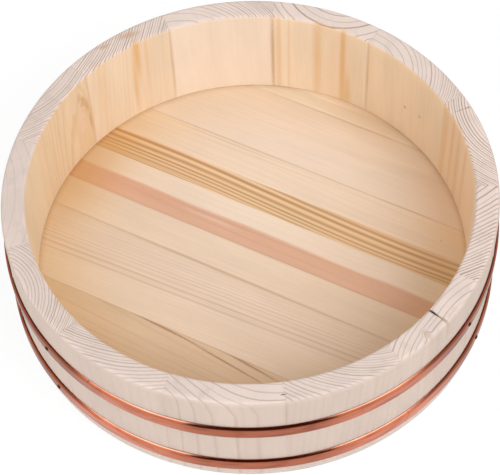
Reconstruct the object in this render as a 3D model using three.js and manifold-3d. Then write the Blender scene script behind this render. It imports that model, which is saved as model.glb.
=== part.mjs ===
// Sushi rice tub: upright staves around a boarded floor, held by two copper bands.
// Millimetres, +Z up, origin on the table at the middle of the tub.
import * as THREE from 'three';
import { mergeVertices } from 'three/addons/utils/BufferGeometryUtils.js';
import Module from 'manifold-3d';

const wasm = await Module();
wasm.setup();

// Wall
const RIM_RADIUS = 165;
const WALL_LEAN = 1.7;
const HEIGHT = 95;
const WALL_THICKNESS = 16;
const RIM_OUTER_ROUND = 2.5;
const RIM_INNER_ROUND = 2;
const FOOT_ROUND = 2.5;

// Staves: counter-clockwise from the first joint, each width in degrees of the circle
const FIRST_JOINT = -165.9;
const STAVE_WIDTHS = [26.6, 28.0, 27.1, 27.2, 14.4, 12.8, 27.5, 27.7, 28.8, 27.7, 28.2, 27.2, 25.5, 31.3];
const JOINT_GAP = 0.2;

// Floor: boards laid side by side in a groove around the inside of the staves
const FLOOR_TOP = 19.5;
const FLOOR_THICKNESS = 12;
const GROOVE_DEPTH = 4;
const FLOOR_CLEARANCE = 0.15;
const BOARD_DIRECTION = -29.2;
// Joints between boards, as shares of the floor's radius to either side of its middle
const BOARD_JOINTS = [-0.532, -0.157, 0.01, 0.221, 0.525, 0.866];
// The board cut from the red heart of the log, counted from zero
const HEARTWOOD_BOARD = 3;

// Bamboo pins that hold the edges of neighbouring pieces in line
const PIN_CLEARANCE = 0.3;
const STAVE_PIN_RADIUS = 1.7;
const STAVE_PIN_LENGTH = 18;
const STAVE_PIN_HEIGHT_SHARE = 0.48;
const BOARD_PIN_RADIUS = 1.8;
const BOARD_PIN_LENGTH = 22;
const BOARD_PIN_SPREAD = 0.55;

// Copper bands, by the height of their lower edge as a share of the tub's height
const BAND_WIDTH = 12;
const BAND_THICKNESS = 2;
const BAND_EDGE_ROUND = 0.9;
const BAND_CLEARANCE = 0.15;
const LOWER_BAND_SHARE = 0.116;
const UPPER_BAND_SHARE = 0.573;

// Nails through each band, a little below its middle
const NAIL_HEAD_RADIUS = 1.6;
const NAIL_HEAD_HEIGHT = 0.8;
const NAIL_SHANK_RADIUS = 0.8;
const NAIL_SHANK_LENGTH = 9;
const NAIL_SEAT = 0.15;
const NAIL_EDGE_SHARE = 0.45;
const UPPER_NAIL_ANGLES = [-144.8, -33.3, 90];
const LOWER_NAIL_ANGLES = [-143.1, -26.9, 95];

// Fineness of round faces
const ROUND_STEPS = 96;
const CORNER_STEPS = 2;
const BAND_CORNER_STEPS = 2;
const PIN_SIDES = 12;

const STAVE_WOOD = new THREE.MeshStandardMaterial({ color: 0xe0ccba, roughness: 0.75, metalness: 0 });
const FLOOR_WOOD = new THREE.MeshStandardMaterial({ color: 0xe3c4a0, roughness: 0.72, metalness: 0 });
const RED_WOOD = new THREE.MeshStandardMaterial({ color: 0xd7a283, roughness: 0.72, metalness: 0 });
const COPPER = new THREE.MeshStandardMaterial({ color: 0xc9805f, roughness: 0.32, metalness: 1 });
const BAMBOO = new THREE.MeshStandardMaterial({ color: 0xd9c48c, roughness: 0.6, metalness: 0 });
const DARK_COPPER = new THREE.MeshStandardMaterial({ color: 0x5a2c20, roughness: 0.5, metalness: 1 });

const radians = THREE.MathUtils.degToRad;

// The outside of the wall leans out a little from foot to rim, and the inside follows it.
function outerRadius(z) {
  return RIM_RADIUS - WALL_LEAN * (1 - z / HEIGHT);
}

function innerRadius(z) {
  return outerRadius(z) - WALL_THICKNESS;
}

const grooveRadius = innerRadius(FLOOR_TOP) + GROOVE_DEPTH;
const floorRadius = grooveRadius - 2 * FLOOR_CLEARANCE;
const floorMiddle = FLOOR_TOP - FLOOR_THICKNESS / 2;

// A closed three.js surface as a solid that can be cut.
function toSolid(geometry) {
  const bare = geometry.clone();
  bare.deleteAttribute('normal');
  bare.deleteAttribute('uv');
  const merged = mergeVertices(bare, 1e-4);
  const mesh = new wasm.Mesh({
    numProp: 3,
    vertProperties: new Float32Array(merged.attributes.position.array),
    triVerts: new Uint32Array(merged.index.array),
  });
  return new wasm.Manifold(mesh);
}

function toGeometry(solid) {
  const mesh = solid.getMesh();
  const geometry = new THREE.BufferGeometry();
  geometry.setAttribute('position', new THREE.BufferAttribute(new Float32Array(mesh.vertProperties), 3));
  geometry.setIndex(new THREE.BufferAttribute(new Uint32Array(mesh.triVerts), 1));
  geometry.computeVertexNormals();
  return geometry;
}

function cutAll(solid, cutters) {
  return cutters.reduce((left, cutter) => left.subtract(cutter), solid);
}

// A closed outline of radius and height, turned once around the Z axis
function turned(outline, cornerSteps) {
  const points = outline.getPoints(cornerSteps);
  const lathe = new THREE.LatheGeometry(points, ROUND_STEPS);
  return lathe.rotateX(Math.PI / 2);
}

function wallOutline() {
  const rimOuter = HEIGHT - RIM_OUTER_ROUND;
  const rimInner = HEIGHT - RIM_INNER_ROUND;
  const grooveTop = FLOOR_TOP + FLOOR_CLEARANCE;
  const grooveFoot = FLOOR_TOP - FLOOR_THICKNESS - FLOOR_CLEARANCE;
  const outline = new THREE.Path();
  outline.moveTo(innerRadius(0), 0);
  outline.lineTo(outerRadius(0) - FOOT_ROUND, 0);
  outline.absarc(outerRadius(0) - FOOT_ROUND, FOOT_ROUND, FOOT_ROUND, -Math.PI / 2, 0);
  outline.absarc(outerRadius(rimOuter) - RIM_OUTER_ROUND, rimOuter, RIM_OUTER_ROUND, 0, Math.PI / 2);
  outline.absarc(innerRadius(rimInner) + RIM_INNER_ROUND, rimInner, RIM_INNER_ROUND, Math.PI / 2, Math.PI);
  outline.lineTo(innerRadius(grooveTop), grooveTop);
  outline.lineTo(grooveRadius, grooveTop);
  outline.lineTo(grooveRadius, grooveFoot);
  outline.lineTo(innerRadius(grooveFoot), grooveFoot);
  outline.closePath();
  return outline;
}

// A tall wedge between two joints, drawn in from each by half the gap.
function wedge(startAngle, width) {
  const half = width / 2;
  const tip = JOINT_GAP / 2 / Math.sin(half);
  const reach = 2 * RIM_RADIUS;
  const shape = new THREE.Shape();
  shape.moveTo(tip, 0);
  shape.lineTo(tip + reach * Math.cos(half), -reach * Math.sin(half));
  shape.lineTo(tip + reach * Math.cos(half), reach * Math.sin(half));
  shape.closePath();
  const block = new THREE.ExtrudeGeometry(shape, { depth: 2 * HEIGHT, bevelEnabled: false });
  block.translate(0, 0, -HEIGHT / 2);
  return block.rotateZ(startAngle + half);
}

// Round pin along Y, and the hole that takes it
function pin(radius, length) {
  return new THREE.CylinderGeometry(radius, radius, length, PIN_SIDES);
}

function pinHole(radius, length, mesh) {
  const hole = pin(radius + PIN_CLEARANCE, length + 2 * PIN_CLEARANCE);
  mesh.updateMatrix();
  return toSolid(hole.applyMatrix4(mesh.matrix));
}

function named(name, geometry, material) {
  const mesh = new THREE.Mesh(geometry, material);
  mesh.name = name;
  return mesh;
}

function numbered(name, index) {
  return name + '_' + String(index + 1).padStart(2, '0');
}

function jointAngles() {
  const whole = STAVE_WIDTHS.reduce((sum, width) => sum + width, 0);
  let angle = radians(FIRST_JOINT);
  return STAVE_WIDTHS.map((width) => {
    const joint = { angle, width: 2 * Math.PI * width / whole };
    angle += joint.width;
    return joint;
  });
}

// A pin across the joint between two staves, in the middle of the wall
function stavePins(joints) {
  const z = STAVE_PIN_HEIGHT_SHARE * HEIGHT;
  const radius = (outerRadius(z) + innerRadius(z)) / 2;
  return joints.map(({ angle }, index) => {
    const mesh = named(numbered('stave_pin', index), pin(STAVE_PIN_RADIUS, STAVE_PIN_LENGTH), BAMBOO);
    mesh.position.set(radius * Math.cos(angle), radius * Math.sin(angle), z);
    mesh.rotation.z = angle;
    return mesh;
  });
}

// Nail with its axis along Y: the head's seat at zero, the shank below it
function nailGeometry() {
  const profile = new THREE.Path();
  profile.moveTo(0, -NAIL_SHANK_LENGTH);
  profile.lineTo(NAIL_SHANK_RADIUS, -NAIL_SHANK_LENGTH + NAIL_SHANK_RADIUS);
  profile.lineTo(NAIL_SHANK_RADIUS, 0);
  profile.lineTo(NAIL_HEAD_RADIUS, 0);
  profile.quadraticCurveTo(NAIL_HEAD_RADIUS, NAIL_HEAD_HEIGHT, 0, NAIL_HEAD_HEIGHT);
  return new THREE.LatheGeometry(profile.getPoints(4), PIN_SIDES);
}

function bandFoot(share) {
  return share * HEIGHT;
}

function nails(name, share, angles) {
  const z = bandFoot(share) + NAIL_EDGE_SHARE * BAND_WIDTH;
  const radius = outerRadius(z) + BAND_CLEARANCE + BAND_THICKNESS + NAIL_SEAT;
  return angles.map((degrees, index) => {
    const angle = radians(degrees);
    const mesh = named(numbered(name, index), nailGeometry(), DARK_COPPER);
    mesh.position.set(radius * Math.cos(angle), radius * Math.sin(angle), z);
    mesh.rotation.z = angle - Math.PI / 2;
    return mesh;
  });
}

function nailHole(nail) {
  return pinHole(NAIL_SHANK_RADIUS, 2 * NAIL_SHANK_LENGTH, nail);
}

function staves(joints, holes) {
  const wall = toSolid(turned(wallOutline(), CORNER_STEPS));
  return joints.map(({ angle, width }, index) => {
    const stave = wall.intersect(toSolid(wedge(angle, width)));
    return named(numbered('stave', index), toGeometry(cutAll(stave, holes)), STAVE_WOOD);
  });
}

function bandOutline(foot) {
  const top = foot + BAND_WIDTH;
  const inner = (z) => outerRadius(z) + BAND_CLEARANCE;
  const outer = (z) => inner(z) + BAND_THICKNESS - BAND_EDGE_ROUND;
  const outline = new THREE.Path();
  outline.moveTo(inner(foot), foot);
  outline.lineTo(outer(foot), foot);
  outline.absarc(outer(foot), foot + BAND_EDGE_ROUND, BAND_EDGE_ROUND, -Math.PI / 2, 0);
  outline.absarc(outer(top), top - BAND_EDGE_ROUND, BAND_EDGE_ROUND, 0, Math.PI / 2);
  outline.lineTo(inner(top), top);
  outline.closePath();
  return outline;
}

function band(name, share, holes) {
  const hoop = toSolid(turned(bandOutline(bandFoot(share)), BAND_CORNER_STEPS));
  return named(name, toGeometry(cutAll(hoop, holes)), COPPER);
}

// A board between two chords of the floor's circle, its length along X
function boardShape(low, high) {
  const lowAngle = Math.asin(low / floorRadius);
  const highAngle = Math.asin(high / floorRadius);
  const shape = new THREE.Shape();
  shape.absarc(0, 0, floorRadius, lowAngle, highAngle);
  shape.absarc(0, 0, floorRadius, Math.PI - highAngle, Math.PI - lowAngle);
  shape.closePath();
  return { shape, span: highAngle - lowAngle };
}

function board(name, low, high, holes, material) {
  const { shape, span } = boardShape(low, high);
  const curveSegments = Math.ceil(span / (2 * Math.PI / ROUND_STEPS) / 2);
  const sweep = { depth: FLOOR_THICKNESS, bevelEnabled: false, curveSegments };
  const slab = new THREE.ExtrudeGeometry(shape, sweep);
  slab.translate(0, 0, FLOOR_TOP - FLOOR_THICKNESS);
  return named(name, toGeometry(cutAll(toSolid(slab), holes)), material);
}

// Two pins across each joint between boards, at mid thickness
function boardPins() {
  return BOARD_JOINTS.flatMap((share, index) => [-1, 1].map((side, end) => {
    const y = share * floorRadius;
    const halfChord = Math.sqrt(floorRadius * floorRadius - y * y);
    const name = numbered('floor_pin', 2 * index + end);
    const mesh = named(name, pin(BOARD_PIN_RADIUS, BOARD_PIN_LENGTH), BAMBOO);
    mesh.position.set(side * BOARD_PIN_SPREAD * halfChord, y, floorMiddle);
    return mesh;
  }));
}

function floorGroup() {
  const pins = boardPins();
  const holes = pins.map((mesh) => pinHole(BOARD_PIN_RADIUS, BOARD_PIN_LENGTH, mesh));
  const edges = [-1, ...BOARD_JOINTS, 1].map((share) => share * floorRadius);
  const group = new THREE.Group();
  group.name = 'floor';
  group.rotation.z = radians(BOARD_DIRECTION);
  for (let index = 0; index + 1 < edges.length; index += 1) {
    const low = edges[index] + (index > 0 ? JOINT_GAP / 2 : 0);
    const high = edges[index + 1] - (index + 2 < edges.length ? JOINT_GAP / 2 : 0);
    const material = index === HEARTWOOD_BOARD ? RED_WOOD : FLOOR_WOOD;
    group.add(board(numbered('floor_board', index), low, high, holes, material));
  }
  group.add(...pins);
  return group;
}

function tub() {
  const joints = jointAngles();
  const pins = stavePins(joints);
  const upperNails = nails('upper_nail', UPPER_BAND_SHARE, UPPER_NAIL_ANGLES);
  const lowerNails = nails('lower_nail', LOWER_BAND_SHARE, LOWER_NAIL_ANGLES);
  const upperHoles = upperNails.map(nailHole);
  const lowerHoles = lowerNails.map(nailHole);
  const pinHoles = pins.map((mesh) => pinHole(STAVE_PIN_RADIUS, STAVE_PIN_LENGTH, mesh));
  const group = new THREE.Group();
  group.name = 'sushi_rice_tub';
  group.add(...staves(joints, [...pinHoles, ...upperHoles, ...lowerHoles]), ...pins);
  group.add(floorGroup());
  group.add(band('upper_band', UPPER_BAND_SHARE, upperHoles), ...upperNails);
  group.add(band('lower_band', LOWER_BAND_SHARE, lowerHoles), ...lowerNails);
  return group;
}

export default tub();
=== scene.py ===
"""Sushi rice tub: upright wooden staves round a boarded floor, bound by two copper bands."""

import logging
import math
from dataclasses import dataclass, field
from enum import Enum
from functools import reduce
from typing import Any, Optional

import bpy
import numpy as np
from mathutils import Matrix, Vector


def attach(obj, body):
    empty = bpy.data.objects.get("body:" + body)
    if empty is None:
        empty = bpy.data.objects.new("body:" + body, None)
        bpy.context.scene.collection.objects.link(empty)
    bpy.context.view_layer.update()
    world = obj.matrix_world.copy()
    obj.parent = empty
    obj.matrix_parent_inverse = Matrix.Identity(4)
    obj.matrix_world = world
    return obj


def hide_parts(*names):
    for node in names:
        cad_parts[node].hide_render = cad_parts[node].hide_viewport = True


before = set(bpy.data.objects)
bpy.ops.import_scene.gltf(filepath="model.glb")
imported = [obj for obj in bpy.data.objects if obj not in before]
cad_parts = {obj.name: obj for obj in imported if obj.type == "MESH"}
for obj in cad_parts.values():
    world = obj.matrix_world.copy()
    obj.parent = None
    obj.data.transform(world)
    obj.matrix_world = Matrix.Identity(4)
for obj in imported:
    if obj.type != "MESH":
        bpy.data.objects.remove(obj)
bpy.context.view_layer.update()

LOG = logging.getLogger("rice_tub")
UV_NAME = "strip"
MM = 0.001
EDGE_STEPS = 4
UP = np.array([0.0, 0.0, 1.0])
LEVEL = (1.0, 1.0, 0.0)
WHITE = (1.0, 1.0, 1.0)
HALF = (0.5, 0.5, 0.5)
Pair = tuple[float, float]
Vec3 = tuple[float, float, float]
RGB = tuple[float, float, float]
Output = bpy.types.NodeSocket


class Slot(Enum):
    """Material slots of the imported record."""

    STAVE_WOOD = "stave_wood"
    FLOOR_WOOD = "floor_wood"
    HEARTWOOD = "heartwood"
    COPPER = "copper"
    NAIL_COPPER = "nail_copper"


class Socket(Enum):
    """Kinds of socket on a node group."""

    NUMBER = "NodeSocketFloat"
    VECTOR = "NodeSocketVector"


class Graph:
    """Places nodes in one shader tree and joins them."""

    def __init__(self, tree: bpy.types.NodeTree) -> None:
        """Keeps the tree that the nodes go into."""
        self.tree = tree

    def node(self, kind: str, *terms: Any, **settings: Any) -> bpy.types.Node:
        """Adds a node.

        Args:
            kind: Blender's name of the node type, without ShaderNode.
            terms: outputs or constants for its first inputs, in order.
            settings: properties to set on it.

        Returns:
            The new node.
        """
        node = self.tree.nodes.new("ShaderNode" + kind)
        for name, value in settings.items():
            setattr(node, name, value)
        for socket, term in zip(node.inputs, terms):
            self.feed(socket, term)
        return node

    def feed(self, socket: Output, value: Any) -> None:
        """Joins an input to another node's output, or writes a constant into it.

        Args:
            socket: the input.
            value: an output or a constant, a colour without its opacity.
        """
        if isinstance(value, Output):
            self.tree.links.new(value, socket)
        else:
            socket.default_value = (*value, 1.0) if socket.type == "RGBA" else value

    def fill(self, node: bpy.types.Node, **values: Any) -> bpy.types.Node:
        """Feeds a node's inputs by their names.

        Args:
            node: the node.
            values: input names, with _ for a space, and what they are fed.

        Returns:
            The same node.
        """
        for name, value in values.items():
            self.feed(node.inputs[name.replace("_", " ")], value)
        return node

    def math(self, operation: str, *terms: Any, clamp: bool = False) -> Output:
        """Adds an arithmetic node, whose result is kept between 0 and 1 if asked."""
        return self.node("Math", *terms, operation=operation, use_clamp=clamp).outputs[0]

    def times(self, *terms: Any) -> Output:
        """Multiplies outputs or numbers with one another."""
        return reduce(lambda product, term: self.math("MULTIPLY", product, term), terms)

    def linear(self, value: Any, gain: Any, offset: Any) -> Output:
        """Multiplies a value by a gain and adds an offset."""
        return self.math("MULTIPLY_ADD", value, gain, offset)

    def vector(self, operation: str, *terms: Any) -> Output:
        """Adds a vector arithmetic node: a dot product or a length is a number, the rest are vectors."""
        node = self.node("VectorMath", *terms, operation=operation)
        return node.outputs["Value" if operation in ("DOT_PRODUCT", "LENGTH") else "Vector"]

    def parts(self, vector: Any) -> tuple[Output, ...]:
        """Splits a vector into its three numbers."""
        return tuple(self.node("SeparateXYZ", vector).outputs)

    def joined(self, **numbers: Any) -> Output:
        """Makes a vector of its X, Y and Z, which are 0 unless given."""
        return self.fill(self.node("CombineXYZ"), **numbers).outputs[0]

    def ramp(self, value: Any, low: Any, high: Any, start: Any = 0.0, end: Any = 1.0) -> Output:
        """Carries a value smoothly from start to end as it goes from low to high."""
        node = self.node("MapRange", value, low, high, start, end, interpolation_type="SMOOTHSTEP")
        return node.outputs["Result"]

    def noise(self, place: Any, waves: Vec3, detail: float, seed: Any = 0.0, output: str = "Fac") -> Output:
        """Adds a noise of so many waves per unit of place along each axis: Fac is one value, Color three."""
        scaled = self.vector("MULTIPLY", place, waves)
        return self.node("TexNoise", scaled, seed, 1.0, detail, noise_dimensions="4D").outputs[output]

    def mix(self, factor: Any, first: Any, second: Any, blend: str = "MIX") -> Output:
        """Mixes two colours.

        Args:
            factor: share of the second.
            first: one colour, an output or a constant.
            second: the other.
            blend: Blender's name of the way they are mixed.

        Returns:
            The mixed colour.
        """
        node = self.node("Mix", data_type="RGBA", blend_type=blend)
        for index, term in ((0, factor), (6, first), (7, second)):
            self.feed(node.inputs[index], term)
        return node.outputs[2]

    def placed(self, group: bpy.types.NodeTree, **values: Any) -> Any:
        """Places a node group, fills its inputs and gives its outputs."""
        return self.fill(self.node("Group", node_tree=group), **values).outputs


@dataclass
class Effects:
    """Node groups that several finishes share.

    Waves are per millimetre, twice across the grain and once along it, or along and across a strip,
    except the ragged ones, which are per metre. A cut is where a noise begins to show and shows fully.
    """

    sway_waves: Vec3 = (0.022, 0.022, 0.005)
    shake_waves: Vec3 = (0.4, 0.4, 0.02)
    shake: float = 0.55
    year_waves: float = 0.45
    year_spread: float = 1.5
    late_start: float = 0.2
    late_drop: float = 0.16
    thread_waves: Vec3 = (1.3, 1.3, 0.025)
    pore_waves: Vec3 = (5.0, 5.0, 0.3)
    pore_cut: Pair = (0.58, 0.72)
    streak_waves: Vec3 = (0.11, 0.11, 0.004)
    streak_cut: Pair = (0.52, 0.72)
    blotch_waves: Vec3 = (0.045, 0.045, 0.012)
    ragged_waves: float = 900.0
    mark_core: float = 0.1
    smear_waves: Vec3 = (0.05, 0.22, 1.0)
    line_waves: Vec3 = (0.06, 5.0, 1.0)
    tarnish_cut: Pair = (0.75, 1.1)

    def __post_init__(self) -> None:
        """Builds each group once."""
        self.rings, self.fibre = self._rings(), self._fibre()
        self.mark, self.handling = self._mark(), self._handling()

    @staticmethod
    def _start(name: str, vectors: tuple[str, ...], numbers: tuple[str, ...],
               results: tuple[str, ...]) -> tuple[Graph, Any, bpy.types.Node]:
        """Makes an empty group.

        Args:
            name: the group's name.
            vectors: names of the inputs that are vectors.
            numbers: names of the inputs that are numbers.
            results: names of the outputs, all numbers.

        Returns:
            The group's graph, its inputs as sockets by name, and the node that its outputs go to.
        """
        tree = bpy.data.node_groups.new(name, "ShaderNodeTree")
        for labels, way, kind in ((vectors, "INPUT", Socket.VECTOR), (numbers, "INPUT", Socket.NUMBER),
                                  (results, "OUTPUT", Socket.NUMBER)):
            for label in labels:
                tree.interface.new_socket(label, in_out=way, socket_type=kind.value)
        return Graph(tree), tree.nodes.new("NodeGroupInput").outputs, tree.nodes.new("NodeGroupOutput")

    def _rings(self) -> bpy.types.NodeTree:
        """Growth rings round a log's axis.

        The distance from the axis, shaken by two noises, is turned into a count of years by a power
        law, so that the rings close up away from the pith. The last part of a year, of the given
        width whatever the year's growth, darkens slowly and then drops back at once.

        Returns:
            The group: Latewood and Year Tone from a place in millimetres about the pith.
        """
        g, given, result = self._start(
            "growth_rings", ("Vector",), ("Reference", "Spacing", "Power", "Width", "Wobble", "Seed"),
            ("Latewood", "Year Tone"))
        place, seed, spacing, power = (given[name] for name in ("Vector", "Seed", "Spacing", "Power"))
        slow = g.noise(place, self.sway_waves, 1.0, seed, "Color")
        quick = g.noise(place, self.shake_waves, 2.0, seed, "Color")
        sway = g.vector("MULTIPLY", g.vector("SUBTRACT", slow, HALF), given["Wobble"])
        shake = g.vector("MULTIPLY", g.vector("SUBTRACT", quick, HALF), (self.shake,) * 3)
        moved = g.vector("ADD", place, g.vector("ADD", sway, shake))
        radius = g.vector("LENGTH", g.vector("MULTIPLY", moved, LEVEL))
        ratio = g.math("DIVIDE", radius, given["Reference"])
        grown = g.math("POWER", ratio, power)
        years = g.times(grown, g.math("DIVIDE", given["Reference"], g.times(spacing, power)))
        uneven = g.noise(g.joined(X=years), (self.year_waves,) * 3, 1.0, g.times(seed, self.year_waves))
        years = g.linear(uneven, self.year_spread, years)
        growth = g.math("DIVIDE", g.times(spacing, ratio), grown)
        left = g.times(g.math("SUBTRACT", 1.0, g.math("FRACT", years)), growth)
        rise = g.ramp(left, self.late_start, given["Width"], 1.0, 0.0)
        tone = g.fill(g.node("TexWhiteNoise", noise_dimensions="2D"),
                      Vector=g.joined(X=g.math("FLOOR", years), Y=seed))
        g.fill(result, Latewood=g.times(rise, g.ramp(left, 0.0, self.late_drop)),
               Year_Tone=tone.outputs["Value"])
        return g.tree

    def _fibre(self) -> bpy.types.NodeTree:
        """Fibres, pores and slow changes of tone along the grain.

        Four noises, each drawn out along the grain: threads under a millimetre wide, short pores,
        resin streaks about a centimetre wide, and blotches a few centimetres across.

        Returns:
            The group: Thread, Pore, Streak and Blotch from a place in millimetres, with the grain along Z.
        """
        g, given, result = self._start("wood_fibre", ("Vector",), ("Seed",),
                                       ("Thread", "Pore", "Streak", "Blotch"))
        place, seed = given["Vector"], given["Seed"]
        g.fill(result, Thread=g.noise(place, self.thread_waves, 3.0, seed),
               Pore=g.ramp(g.noise(place, self.pore_waves, 1.0, seed), *self.pore_cut),
               Streak=g.ramp(g.noise(place, self.streak_waves, 2.5, seed), *self.streak_cut),
               Blotch=g.noise(place, self.blotch_waves, 3.0, seed))
        return g.tree

    def _mark(self) -> bpy.types.NodeTree:
        """One soft-edged stain, knot, crack or patch of painted light or shade.

        The place is carried into the mark's own axes and divided by its reach each way; the mask
        falls from 1 at the middle to 0 at a ragged edge.

        Returns:
            The group: Mask, and Swell without the ragged edge, from Object coordinates.
        """
        g, given, result = self._start("wood_mark", ("Vector", "Centre", "Turn", "Reach"), ("Ragged",),
                                       ("Mask", "Swell"))
        local = g.fill(g.node("Mapping", vector_type="TEXTURE"), Vector=given["Vector"],
                       Location=given["Centre"], Rotation=given["Turn"], Scale=given["Reach"])
        away = g.vector("LENGTH", local.outputs[0])
        ragged = g.math("SUBTRACT", g.noise(given["Vector"], (self.ragged_waves,) * 3, 2.0), 0.5)
        edge = g.linear(ragged, given["Ragged"], away)
        g.fill(result, Mask=g.ramp(edge, self.mark_core, 1.0, 1.0, 0.0),
               Swell=g.ramp(away, 0.0, 1.0, 1.0, 0.0))
        return g.tree

    def _handling(self) -> bpy.types.NodeTree:
        """Tarnish, smears and rolling lines of a metal strip.

        The place is in millimetres along and across the strip. Smears are a broad noise, lines a
        noise drawn out along the strip, and tarnish gathers at its two edges.

        Returns:
            The group: Smear, Line and Tarnish.
        """
        g, given, result = self._start("strip_handling", ("Vector",), ("Half Width", "Seed"),
                                       ("Smear", "Line", "Tarnish"))
        place, seed = given["Vector"], given["Seed"]
        smear = g.noise(place, self.smear_waves, 4.0, seed)
        across = g.math("DIVIDE", g.math("ABSOLUTE", g.parts(place)[1]), given["Half Width"])
        edge = g.linear(g.math("SUBTRACT", smear, 0.5), 0.5, across)
        g.fill(result, Smear=smear, Line=g.noise(place, self.line_waves, 3.0, seed),
               Tarnish=g.ramp(edge, *self.tarnish_cut))
        return g.tree


class Surface(Graph):
    """The graph of a new material, with its shader."""

    def __init__(self, name: str) -> None:
        """Starts a material.

        Args:
            name: its name.
        """
        self.material = bpy.data.materials.new(name)
        self.material.use_nodes = True
        super().__init__(self.material.node_tree)
        self.shader = self.tree.nodes["Principled BSDF"]

    def dress(self, relief: Output, strength: float, depth: float, **values: Any) -> bpy.types.Material:
        """Fills the shader.

        Args:
            relief: height of the surface's fine relief.
            strength: how strongly it shows.
            depth: its depth in millimetres.
            values: the shader's other inputs.

        Returns:
            The material.
        """
        bump = self.fill(self.node("Bump"), Height=relief, Strength=strength, Distance=depth * MM)
        self.fill(self.shader, Normal=bump.outputs["Normal"], **values)
        return self.material

    def glow(self, strength: Any) -> Output:
        """Adds a shader that gives out white light."""
        return self.node("Emission", WHITE, strength).outputs[0]

    def blend(self, factor: Any, first: Output, second: Output) -> Output:
        """Mixes two shaders by the second's share."""
        return self.node("MixShader", factor, first, second).outputs[0]


def level_axes(turn: float) -> tuple[np.ndarray, np.ndarray]:
    """Level unit directions at an angle in radians and a quarter turn past it."""
    return np.array([math.cos(turn), math.sin(turn), 0.0]), np.array([-math.sin(turn), math.cos(turn), 0.0])


@dataclass(frozen=True)
class Mark:
    """A stain, knot or crack in a piece of wood, or a patch of painted light or shade, in millimetres.

    Its axes are a radius of the tub, the direction round it, and up, turned about the upright by the
    twist. A knot bends the rings near it by the given distance.
    """

    azimuth: float
    radius: float
    height: float
    reach: Vec3
    color: RGB
    strength: float
    bend: float = 0.0
    twist: float = 0.0
    ragged: float = 1.0

    def mask(self, g: Graph, effects: Effects, place: Output, output: str = "Mask") -> Output:
        """Adds the mark's mask to a material.

        Args:
            g: the material's graph.
            effects: the shared groups.
            place: Object coordinates.
            output: which of the mark group's outputs is wanted.

        Returns:
            The mask.
        """
        out, _ = level_axes(math.radians(self.azimuth))
        turn = (0.0, 0.0, math.radians(self.azimuth + self.twist))
        return g.placed(effects.mark, Vector=place, Centre=MM * (self.radius * out + self.height * UP),
                        Turn=turn, Reach=MM * Vector(self.reach), Ragged=self.ragged)[output]


@dataclass(frozen=True)
class Zone:
    """A strip of a board with a tint and ring strength of its own, in millimetres across the boards.

    Each of its broad bands of late wood has a place, a half width and a strength. Its edges and its
    bands waver by the two given distances.
    """

    low: float
    high: float
    low_edge: float
    high_edge: float
    tint: RGB
    amount: float
    lines: float
    late: RGB
    bands: tuple[Vec3, ...] = ()
    waver: float = 3.0
    band_waver: float = 0.8
    waver_waves: Vec3 = (0.1, 0.1, 0.02)


@dataclass(frozen=True)
class Shade:
    """A slow change to a tint, which paints light or shade, by distance in millimetres from the tub's middle
    along the axes in measure.
    """

    measure: Vec3
    start: float
    end: float
    tint: RGB

    def over(self, g: Graph, place: Output, color: Output) -> Output:
        """Lays the tint over a colour, given Object coordinates."""
        away = g.vector("LENGTH", g.vector("MULTIPLY", place, self.measure))
        return g.mix(g.ramp(away, MM * self.start, MM * self.end), color, self.tint, "MULTIPLY")


@dataclass(frozen=True)
class Log:
    """Where a piece of wood sat in its log: the pith's place in millimetres, the ways across and along it."""

    pith: Vec3
    across: Vec3
    grain: Vec3
    reference: float
    spacing: float
    power: float
    wobble: float = 3.0
    width: float = 1.15

    def axes(self) -> Matrix:
        """The log's own axes.

        Returns:
            Rows: across the rings, the third way, and along the grain.
        """
        along = Vector(self.grain).normalized()
        third = along.cross(Vector(self.across)).normalized()
        return Matrix((third.cross(along), third, along))


@dataclass(frozen=True)
class Face:
    """Colours of spring and late wood on one kind of face, and how strongly the rings show there."""

    early: RGB
    late: RGB
    lines: float = 1.0

    def toned(self, tone: RGB, lines: float) -> "Face":
        """The same face with its colours multiplied by a tone, and its own strength of rings."""
        return Face(*(tuple(a * b for a, b in zip(color, tone)) for color in (self.early, self.late)), lines)


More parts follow.
